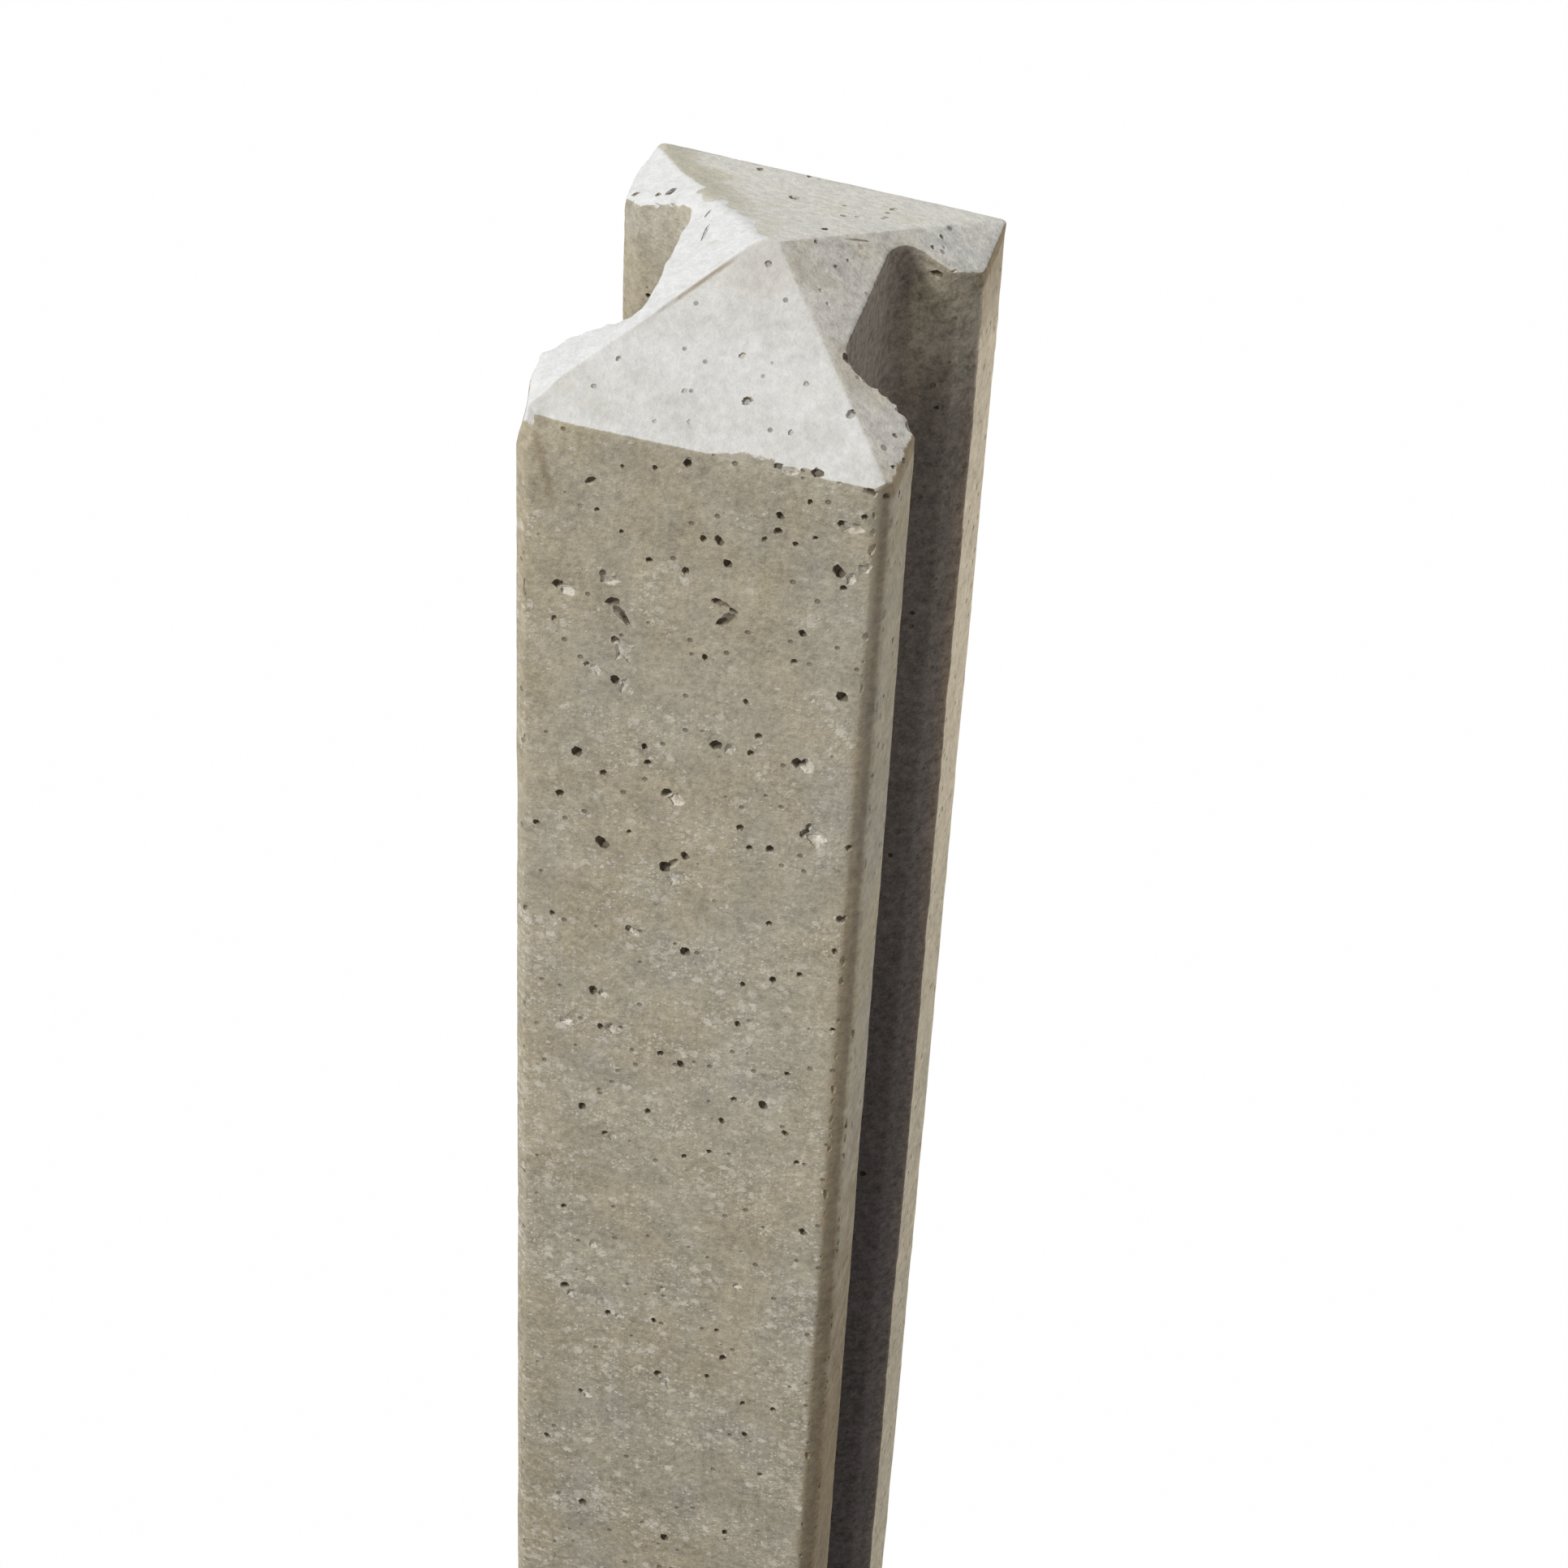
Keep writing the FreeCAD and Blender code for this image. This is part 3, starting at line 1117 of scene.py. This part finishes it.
    def air_holes(self) -> list[Hollow]:
        """Lists the air holes, the cracks of the cap and the notches of the eaves.

        Returns:
            The hollows, none of which meets another.
        """
        holes: list[Hollow] = []
        self._face_holes(holes)
        self._cap_holes(holes)
        self._cap_cracks(holes)
        self._slot_hole(holes)
        self._eaves_notches(holes)
        self._scatter_all(holes)
        return holes

    def _face_holes(self, holes: list[Hollow]) -> None:
        """Adds the air holes of the front face, which are taller than they are wide.

        Args:
            holes: The hollows so far.
        """
        for across, below, size in self.face_rows:
            bubble = self._bubble(self._on_front(across, below), FRONT, size * MM * 0.54)
            self._add(holes, replace(bubble, wide=bubble.wide * 1.4, spin=bubble.spin * 0.25))
        for across, below, long, wide, spin in self.long_rows:
            middle = self._on_front(across, below)
            self._add(holes, Hollow(Mould.BUBBLE, middle, FRONT, long * MM, wide * MM, 1.5 * MM, spin, 0.1))

    def _cap_holes(self, holes: list[Hollow]) -> None:
        """Adds the air holes of the cap, deeper on its back slope.

        Args:
            holes: The hollows so far.
        """
        for across, depth, size in self.cap_rows:
            facing = self.cap_facing(across * MM, depth * MM)
            bubble = self._bubble(self._on_cap(across, depth), facing, size * MM / 2)
            share = 0.9 if depth > 10 else 0.55
            self._add(holes, replace(bubble, deep=bubble.deep * share, sink=0.0))

    def _cap_cracks(self, holes: list[Hollow]) -> None:
        """Adds the cracks of the cap's side slopes.

        Args:
            holes: The hollows so far.
        """
        for start, stop, wide in self.crack_runs:
            ends = [self._on_cap(across, depth) for across, depth in (start, stop)]
            middle = (ends[0] + ends[1]) / 2
            run = ends[1] - ends[0]
            facing = self.cap_facing(middle.x - MM, middle.y)
            half, thin = run.length / 2, wide * MM
            self._add(holes, Hollow(Mould.BUBBLE, middle, facing, half, thin, thin, along=run, settle=True))

    def _slot_hole(self, holes: list[Hollow]) -> None:
        """Adds the air hole at the head of the right slot's far wall.

        Args:
            holes: The hollows so far.
        """
        across = 40.5 * MM
        middle = Vector((across, self.slot_half(across), self.eaves + 1.5 * MM))
        self._add(holes, Hollow(Mould.BUBBLE, middle, FRONT, 2.1 * MM, 1.3 * MM, 1.6 * MM, settle=True))

    def _eaves_notches(self, holes: list[Hollow]) -> None:
        """Adds the notches of the front eaves.

        Args:
            holes: The hollows so far.
        """
        for across, depth, below, size, deep in self.notch_rows:
            middle = Vector((across * MM, depth * MM, self.eaves - below * MM))
            facing = Vector((0.3 if across > 45 else 0, -0.8, 0.5)).normalized()
            long = size * 1.3 * MM
            self._add(holes, Hollow(Mould.SPALL, middle, facing, long, size * MM, deep * MM, sink=-0.1))

    def _scatter_all(self, holes: list[Hollow]) -> None:
        """Scatters air holes over the rest of the post.

        Args:
            holes: The hollows so far.
        """
        draw = self.chance.uniform
        lean = Vector((self.half_throat - self.half_floor, self.slot_floor - self.lip, 0)).normalized()

        def on_face(end: int, top: float) -> Vector:
            """Draws a point of the front or back face, below a top."""
            return Vector((draw(-0.046, 0.046), end * self.half_depth, draw(self.foot, top)))

        def on_end(side: int, end: int) -> Vector:
            """Draws a point of a side, before or behind its slot."""
            depth = end * draw(0.041, 0.056)
            return Vector((side * self.half_width, depth, draw(self.foot, self.eaves - 0.006)))

        def on_wall(side: int, end: int) -> Vector:
            """Draws a point of a slot's wall."""
            across = draw(0.034, 0.044)
            return Vector((side * across, end * self.slot_half(across), draw(self.foot, self.eaves - 0.008)))

        def on_floor(side: int) -> Vector:
            """Draws a point of a slot's floor."""
            return Vector((side * self.slot_floor, draw(-0.016, 0.016), draw(self.foot, self.eaves - 0.004)))

        def scatter(count: int, size: Triple, facing: Vector, spot: Callable[[], Vector]) -> None:
            """Adds air holes at drawn places of a surface.

            Args:
                count: How many are tried.
                size: Least, greatest and usual half width in millimetres.
                facing: Direction that the surface faces.
                spot: Draws a place.
            """
            for _ in range(count):
                middle = spot()
                self._add(holes, self._bubble(middle, facing, self.chance.triangular(*size) * MM))

        scatter(self.front_holes, self.face_size, FRONT, lambda: on_face(-1, self.eaves - self.rows_end))
        scatter(self.back_holes, self.face_size, BACK, lambda: on_face(1, self.eaves - 0.005))
        for side in (-1, 1):
            outward = Vector((side, 0, 0))
            for end in (-1, 1):
                inward = Vector((side * lean.x, end * lean.y, 0))
                scatter(self.end_holes, self.end_size, outward, lambda: on_end(side, end))
                scatter(self.slot_holes, self.slot_size, inward, lambda: on_wall(side, end))
            scatter(self.slot_holes, self.slot_size, outward, lambda: on_floor(side))

    def pits(self) -> list[Hollow]:
        """Lists the runs that join neighbouring air holes of the front face into longer pits.

        Returns:
            The runs.
        """
        pits = []
        for start, stop, wide in self.pit_runs:
            ends = [self._on_front(across, below) for across, below in (start, stop)]
            run = ends[1] - ends[0]
            middle = (ends[0] + ends[1]) / 2
            half, thin = run.length / 2, wide * MM
            pits.append(Hollow(Mould.BUBBLE, middle, FRONT, half, thin, 0.8 * MM, along=run, settle=True))
        return pits


@dataclass(frozen=True)
class FencePost(PostSizes):
    """The cast post, worn and pitted, in place of the plain solid."""

    node: str = "concrete_post"
    arris: float = 0.0009
    # Angles in degrees: of faces taken as flat, of edges taken as arrises, and of edges shaded smooth.
    flat_angle: float = 0.4
    arris_angle: float = 28.0
    smooth_angle: float = 38.0
    # Heights at which the grid gets finer, the depth of its finest part below the eaves, and its steps.
    seen_zone: float = 1.2
    top_zone: float = 1.665
    head_zone: float = 0.03
    low_step: float = 0.02
    seen_step: float = 0.006
    top_step: float = 0.0025
    plan_step: float = 0.004
    # Depth at which an air hole begins.
    hole_start: float = 0.00005

    def build(self) -> bpy.types.Object:
        """Makes the post's mesh.

        Returns:
            The piece that stands for the plain solid.
        """
        solid = frame["nodes"][self.node]
        piece = bpy.data.objects.new("weathered_post", solid.data.copy())
        piece.data.name = "weathered_post"
        bpy.context.scene.collection.objects.link(piece)
        take(piece)
        if piece.data.has_custom_normals:
            bpy.ops.mesh.customdata_custom_splitnormals_clear()
        with editing(piece, Pick.VERTS):
            bpy.ops.mesh.remove_doubles(threshold=SAME_PLACE)
            bpy.ops.mesh.select_all(action="SELECT")
            bpy.ops.mesh.dissolve_limited(angle_limit=math.radians(self.flat_angle))
        self._soften_arrises(piece)
        self._lay_grid(piece)
        log.info("grid laid: %d triangles", triangles_in(piece))
        self._wear(piece)
        self._roughen(piece)
        self._cut_hollows(piece)
        return piece

    def _soften_arrises(self, piece: bpy.types.Object) -> None:
        """Takes the sharpness off the edges that a mould leaves.

        Args:
            piece: The post.
        """

        def sharp(edge: Any) -> bool:
            """Tells a moulded edge from the facets of a round, and leaves the left slot's head for the wear.

            Args:
                edge: The edge.

            Returns:
                Whether it is softened.
            """
            if edge.calc_face_angle(0.0) < math.radians(self.arris_angle):
                return False
            middle = (edge.verts[0].co + edge.verts[1].co) / 2
            facing_up = [face.normal.z for face in edge.link_faces]
            at_head = min(facing_up) < 0.2 and max(facing_up) > 0.6 and middle.z > self.eaves - 0.001
            return not (at_head and middle.x < -self.slot_floor + 0.001 and abs(middle.y) < self.half_mouth)

        with editing(piece, Pick.EDGES):
            pick(piece, Pick.EDGES, sharp)
            bpy.ops.mesh.bevel(
                offset=self.arris,
                offset_type="OFFSET",
                segments=2,
                profile=0.5,
                affect="EDGES",
                clamp_overlap=False,
            )

    def _lay_grid(self, piece: bpy.types.Object) -> None:
        """Divides the faces, finely at the top and coarsely below what is seen close to.

        Args:
            piece: The post.
        """
        rows = run_of(self.low_step, self.seen_zone - self.low_step, self.low_step)
        rows += run_of(self.seen_zone, self.top_zone - self.seen_step, self.seen_step)
        rows += run_of(self.top_zone, self.eaves + self.rise / 2, self.top_step)
        step = self.plan_step
        cuts = (
            (Axis.UP, rows, False),
            (Axis.ACROSS, run_of(-0.048, 0.048, step), False),
            (Axis.DEPTH, run_of(-0.058, 0.058, step), False),
            (Axis.ACROSS, run_of(-0.05, 0.05, step), True),
            (Axis.DEPTH, run_of(-0.06, 0.06, step), True),
        )
        with editing(piece, Pick.FACES):
            for axis, levels, head_only in cuts:
                for level in levels:
                    bpy.ops.mesh.select_all(action="SELECT")
                    if head_only:
                        pick(piece, Pick.FACES, self._in_head)
                    slice_at(axis, level)

    def _in_head(self, face: Any) -> bool:
        """Tells the faces at the head of the post."""
        return face.calc_center_median().z > self.eaves - self.head_zone

    def _wear(self, piece: bpy.types.Object) -> None:
        """Rounds the places where the casting is worn.

        Args:
            piece: The post.
        """
        inset = self.corner_flat / 2
        corner = Vector((inset - self.half_width, inset - self.half_depth, self.eaves))

        def corner_tip(vert: Any) -> bool:
            """Vertices at the front left corner of the eaves."""
            return (vert.co - corner).length < 0.0035

        def left_head(vert: Any) -> bool:
            """Vertices around the edge of the left slot's head."""
            x, y, z = vert.co
            return x < -0.012 and self.slot_gap(x, y) < 0.0065 and self.cap_height(x, y) - z < 0.0075

        def left_web(vert: Any) -> bool:
            """Those of them on the web between the slots."""
            return left_head(vert) and vert.co.x > -0.036

        def right_head(vert: Any) -> bool:
            """Vertices around the edge of the right slot's head."""
            x, y, z = vert.co
            return x > 0.02 and self.slot_gap(x, y) < 0.002 and self.cap_height(x, y) - z < 0.003

        def front_left(vert: Any) -> bool:
            """Vertices around the rubbed front left corner."""
            away = vert.co - corner
            return Vector((away.x / 0.009, away.y / 0.009, away.z / 0.014)).length < 1

        def left_eaves(vert: Any) -> bool:
            """Vertices along the eaves of the left side."""
            return vert.co.x < -self.half_width + 0.004 and abs(vert.co.z - self.eaves) < 0.0055

        def right_eaves(vert: Any) -> bool:
            """Vertices along the eaves of the near end of the right side."""
            near = vert.co.x > self.half_width - 0.005 and vert.co.y < -self.half_mouth + 0.003
            return near and abs(vert.co.z - self.eaves) < 0.005

        def far_right(vert: Any) -> bool:
            """Vertices of the right slot's far edge, where it is broken back."""
            x, y, z = vert.co
            at_edge = y > 0.02 and self.slot_gap(x, y) < 0.0012
            return 0.0315 < x < 0.0375 and at_edge and self.cap_height(x, y) - z < 0.01

        def back_eaves(vert: Any) -> bool:
            """Vertices along the back eaves, which the casting leaves a little high on the left."""
            return vert.co.y > self.half_depth - 0.002 and abs(vert.co.z - self.eaves) < 0.004

        def far_left_eaves(vert: Any) -> bool:
            """Vertices at the far end of the left eaves, rubbed back."""
            x, y, z = vert.co
            return x < 0.002 - self.half_width and y > self.half_depth - 0.002 and z > self.eaves - 0.003

        def back_left(vert: Any) -> bool:
            """Vertices around the rubbed back left corner."""
            return (vert.co - Vector((-self.half_width, self.half_depth, self.eaves + 0.002))).length < 0.0055

        def tip(vert: Any) -> bool:
            """Vertices around the ridge."""
            return vert.co.z > self.eaves + self.rise - 0.002

        soft = {"use_proportional_edit": True, "proportional_edit_falloff": "SMOOTH"}
        with editing(piece, Pick.VERTS):
            pick(piece, Pick.VERTS, corner_tip)
            bpy.ops.transform.translate(value=(0.0026, 0.001, -0.0005), proportional_size=0.012, **soft)
            pick(piece, Pick.VERTS, back_eaves)
            bpy.ops.transform.rotate(
                value=-0.022,
                orient_axis="Y",
                center_override=(self.half_width, self.half_depth, self.eaves),
                proportional_size=0.02,
                **soft,
            )
            pick(piece, Pick.VERTS, far_left_eaves)
            bpy.ops.transform.translate(value=(0.0023, 0.0, 0.0), proportional_size=0.016, **soft)
            pick(piece, Pick.VERTS, far_right)
            soft["use_proportional_connected"] = True
            bpy.ops.transform.translate(value=(0.0, 0.0024, 0.0), proportional_size=0.0055, **soft)
            zones = (
                (left_head, 2),
                (left_web, 5),
                (right_head, 1),
                (front_left, 3),
                (left_eaves, 2),
                (right_eaves, 4),
                (tip, 2),
                (back_left, 4),
            )
            for zone, repeats in zones:
                pick(piece, Pick.VERTS, zone)
                bpy.ops.mesh.vertices_smooth(factor=0.5, repeat=repeats)

    def _roughen(self, piece: bpy.types.Object) -> None:
        """Gives the faces the slight unevenness of a casting, and the left slot's head a broken grain.

        Args:
            piece: The post.
        """
        whole = piece.vertex_groups.new(name="whole")
        head = piece.vertex_groups.new(name="head")
        for vert in piece.data.vertices:
            x, y, z = vert.co
            whole.add([vert.index], min(1.0, z / 0.01), "REPLACE")
            gap = self.slot_gap(x, y)
            near = max(0.0, 1 - abs(gap) / 0.011) * max(0.0, 1 - (self.cap_height(x, y) - z) / 0.012)
            if x < -0.012 and near > 0:
                head.add([vert.index], min(1.0, 1.6 * near), "REPLACE")
        # Name, where it acts, size of its waves, how far it moves the surface, and its middle level.
        layers = (
            ("sway", "whole", 0.07, 0.0007, 0.5),
            ("grain", "whole", 0.007, 0.0005, 0.5),
            ("break", "head", 0.0065, 0.0018, 0.55),
        )
        for name, group, size, strength, level in layers:
            noise = bpy.data.textures.new(name, "CLOUDS")
            noise.noise_scale = size
            noise.noise_depth = 2
            noise.noise_basis = "ORIGINAL_PERLIN"
            uneven = piece.modifiers.new(name, "DISPLACE")
            uneven.texture = noise
            uneven.texture_coords = "LOCAL"
            uneven.vertex_group = group
            uneven.strength = strength
            uneven.mid_level = level
            take(piece)
            bpy.ops.object.modifier_apply(modifier=uneven.name)
            bpy.data.textures.remove(noise)
        piece.vertex_groups.clear()

    def _cut_hollows(self, piece: bpy.types.Object) -> None:
        """Cuts chips, scoops and air holes, and marks how deep the last two lie.

        Args:
            piece: The post.
        """
        plan = WearPlan()
        moulds = Moulds()
        moulds.build()
        with editing(piece, Pick.FACES):
            bpy.ops.mesh.quads_convert_to_tris()
        chips = plan.chips()
        moulds.cut(piece, "chips", chips[0::2])
        moulds.cut(piece, "chips", chips[1::2])
        moulds.cut(piece, "arris_chips", plan.arris_chips())
        sound = self._kept_copy(piece, "sound")
        moulds.cut(piece, "scoops", plan.scoops())
        chipped = self._kept_copy(piece, "chipped")
        moulds.cut(piece, "air_holes", plan.air_holes())
        moulds.cut(piece, "pits", plan.pits())
        moulds.clear()
        self._drop_crumbs(piece)
        self._mark_depths(piece, sound, chipped)
        for copy in (sound, chipped):
            shape = copy.data
            bpy.data.objects.remove(copy)
            bpy.data.meshes.remove(shape)

    def _drop_crumbs(self, piece: bpy.types.Object) -> None:
        """Deletes the specks that cutting leaves loose.

        Args:
            piece: The post.
        """
        with editing(piece, Pick.VERTS):
            pick(piece, Pick.VERTS, lambda vert: vert.co.z < MM)
            bpy.ops.mesh.select_linked()
            bpy.ops.mesh.select_all(action="INVERT")
            bpy.ops.mesh.delete(type="VERT")

    def _kept_copy(self, piece: bpy.types.Object, name: str) -> bpy.types.Object:
        """Keeps the post as it is now, to measure later cuts from.

        Args:
            piece: The post.
            name: Name of the copy while it exists.

        Returns:
            The copy.
        """
        copy = bpy.data.objects.new(name, piece.data.copy())
        bpy.context.scene.collection.objects.link(copy)
        return copy

    def _mark_depths(
        self, piece: bpy.types.Object, sound: bpy.types.Object, chipped: bpy.types.Object
    ) -> None:
        """Stores how deep each vertex lies in an air hole, and how deep in a scoop.

        Args:
            piece: The post.
            sound: The post before its scoops were cut.
            chipped: The post before its air holes were cut.
        """
        bpy.context.view_layer.update()
        holes = []
        breaks = []
        for vert in piece.data.vertices:
            depths = []
            for earlier in (chipped, sound):
                _, place, facing, _ = earlier.closest_point_on_mesh(vert.co)
                depths.append(max(0.0, (place - vert.co).dot(facing)))
            in_hole, in_scoop = depths
            holes.append(in_hole)
            breaks.append(0.0 if in_hole > self.hole_start else in_scoop)
        for name, depths in (("hole", holes), ("broken", breaks)):
            marks = piece.data.attributes.new(name, "FLOAT", "POINT")
            marks.data.foreach_set("value", depths)

    def dress(self, piece: bpy.types.Object, finish: ConcreteFinish) -> None:
        """Gives the post its finish and its place in the frame.

        Args:
            piece: The post.
            finish: What the concrete looks like.
        """
        piece.data.materials.clear()
        piece.data.materials.append(finish.make())
        take(piece)
        bpy.ops.object.shade_smooth_by_angle(angle=math.radians(self.smooth_angle))
        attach(piece, "root")
        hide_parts(self.node)


@dataclass(frozen=True)
class Studio:
    """A pale floor, soft light from the upper left and the camera."""

    floor_half: float = 9.0
    floor_tone: Colour = paint(190, 190, 190)
    floor_glow: float = 0.85
    white: Colour = (1.0, 1.0, 1.0, 1.0)

    key_from: Triple = (-0.55, -0.45, 0.7)
    key_strength: float = 2.5
    key_spread: float = 14.0
    side_from: Triple = (0.85, 0.45, 0.28)
    side_strength: float = 0.7
    side_spread: float = 60.0
    lamp_distance: float = 4.0
    fill: float = 0.36

    # Angles are in degrees, lens and sensor in millimetres.
    aim_height: float = 1.725
    azimuth: float = 14.006
    elevation: float = 44.142
    roll: float = 3.181
    distance: float = 1.234885
    aside: float = 0.004956
    lift: float = -0.129153
    lens: float = 103.575
    sensor: float = 36.0

    def build(self) -> None:
        """Makes the floor, the lights and the camera."""
        self._floor()
        self._lights()
        self._camera()

    def _seen(self, sheet: NodeSheet) -> Sock:
        """Tells the rays that show the background from those that light the object."""
        camera = sheet.node("ShaderNodeLightPath", None, None, "Is Camera Ray")
        return camera.at_least(camera.other("Is Glossy Ray")).at_least(camera.other("Is Transmission Ray"))

    def _floor(self) -> None:
        """Lays the floor, white to the camera but for a soft shadow."""
        bpy.ops.object.select_all(action="DESELECT")
        bpy.ops.mesh.primitive_plane_add(size=2 * self.floor_half, location=(0, 0, 0))
        floor = bpy.context.object
        floor.name = "studio_floor"
        material = bpy.data.materials.new("studio_floor")
        sheet = NodeSheet(material)
        seen = self._seen(sheet)
        tone = sheet.mix(seen, self.floor_tone, self.white)
        dull = sheet.node("ShaderNodeBsdfDiffuse", None, {"Color": tone})
        glow = sheet.node("ShaderNodeEmission", None, {"Color": self.white, "Strength": 1.0})
        both = sheet.node("ShaderNodeMixShader", None, {0: seen * self.floor_glow, 1: dull, 2: glow})
        sheet.node("ShaderNodeOutputMaterial", None, {"Surface": both})
        floor.data.materials.append(material)

    def _lights(self) -> None:
        """Sets the key light, a soft side light and the even light all round."""
        self._lamp("key_light", Vector(self.key_from), self.key_strength, self.key_spread)
        self._lamp("side_light", Vector(self.side_from), self.side_strength, self.side_spread)
        world = bpy.data.worlds.new("studio_air")
        bpy.context.scene.world = world
        sheet = NodeSheet(world)
        strength = self._seen(sheet) * (1.0 - self.fill) + self.fill
        air = sheet.node("ShaderNodeBackground", None, {"Color": self.white, "Strength": strength})
        sheet.node("ShaderNodeOutputWorld", None, {"Surface": air})

    def _lamp(self, name: str, place: Vector, strength: float, spread: float) -> None:
        """Adds a lamp that shines from afar.

        Args:
            name: The lamp's name.
            place: Direction that its light comes from.
            strength: Its strength.
            spread: How wide its source looks, in degrees.
        """
        bpy.ops.object.light_add(type="SUN", location=place * self.lamp_distance)
        lamp = bpy.context.object
        lamp.name = name
        lamp.data.energy = strength
        lamp.data.angle = math.radians(spread)
        lamp.rotation_mode = "QUATERNION"
        lamp.rotation_quaternion = place.to_track_quat("Z", "Y")

    def _camera(self) -> None:
        """Puts the camera above and to the right of the front face."""
        turn, tilt, roll = (math.radians(value) for value in (self.azimuth, self.elevation, self.roll))
        back = Vector((math.sin(turn) * math.cos(tilt), -math.cos(turn) * math.cos(tilt), math.sin(tilt)))
        level = Vector((math.cos(turn), math.sin(turn), 0))
        upright = back.cross(level)
        right = level * math.cos(roll) + upright * math.sin(roll)
        up = upright * math.cos(roll) - level * math.sin(roll)
        bpy.ops.object.camera_add()
        camera = bpy.context.object
        camera.name = "camera"
        stand = Matrix((right, up, back)).transposed().to_4x4()
        aim = Vector((0, 0, self.aim_height))
        stand.translation = aim + back * self.distance + right * self.aside + up * self.lift
        camera.matrix_world = stand
        camera.data.sensor_width = self.sensor
        camera.data.lens = self.lens
        bpy.context.scene.camera = camera
        bpy.context.scene.view_settings.view_transform = "Standard"


def main() -> None:
    """Builds the post and the studio, and logs the post's triangle count."""
    logging.basicConfig(level=logging.INFO, format="%(name)s: %(message)s")
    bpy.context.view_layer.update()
    post = FencePost()
    piece = post.build()
    post.dress(piece, ConcreteFinish())
    log.info("weathered_post: %d triangles", triangles_in(piece))
    Studio().build()


if __name__ == "__main__":
    main()
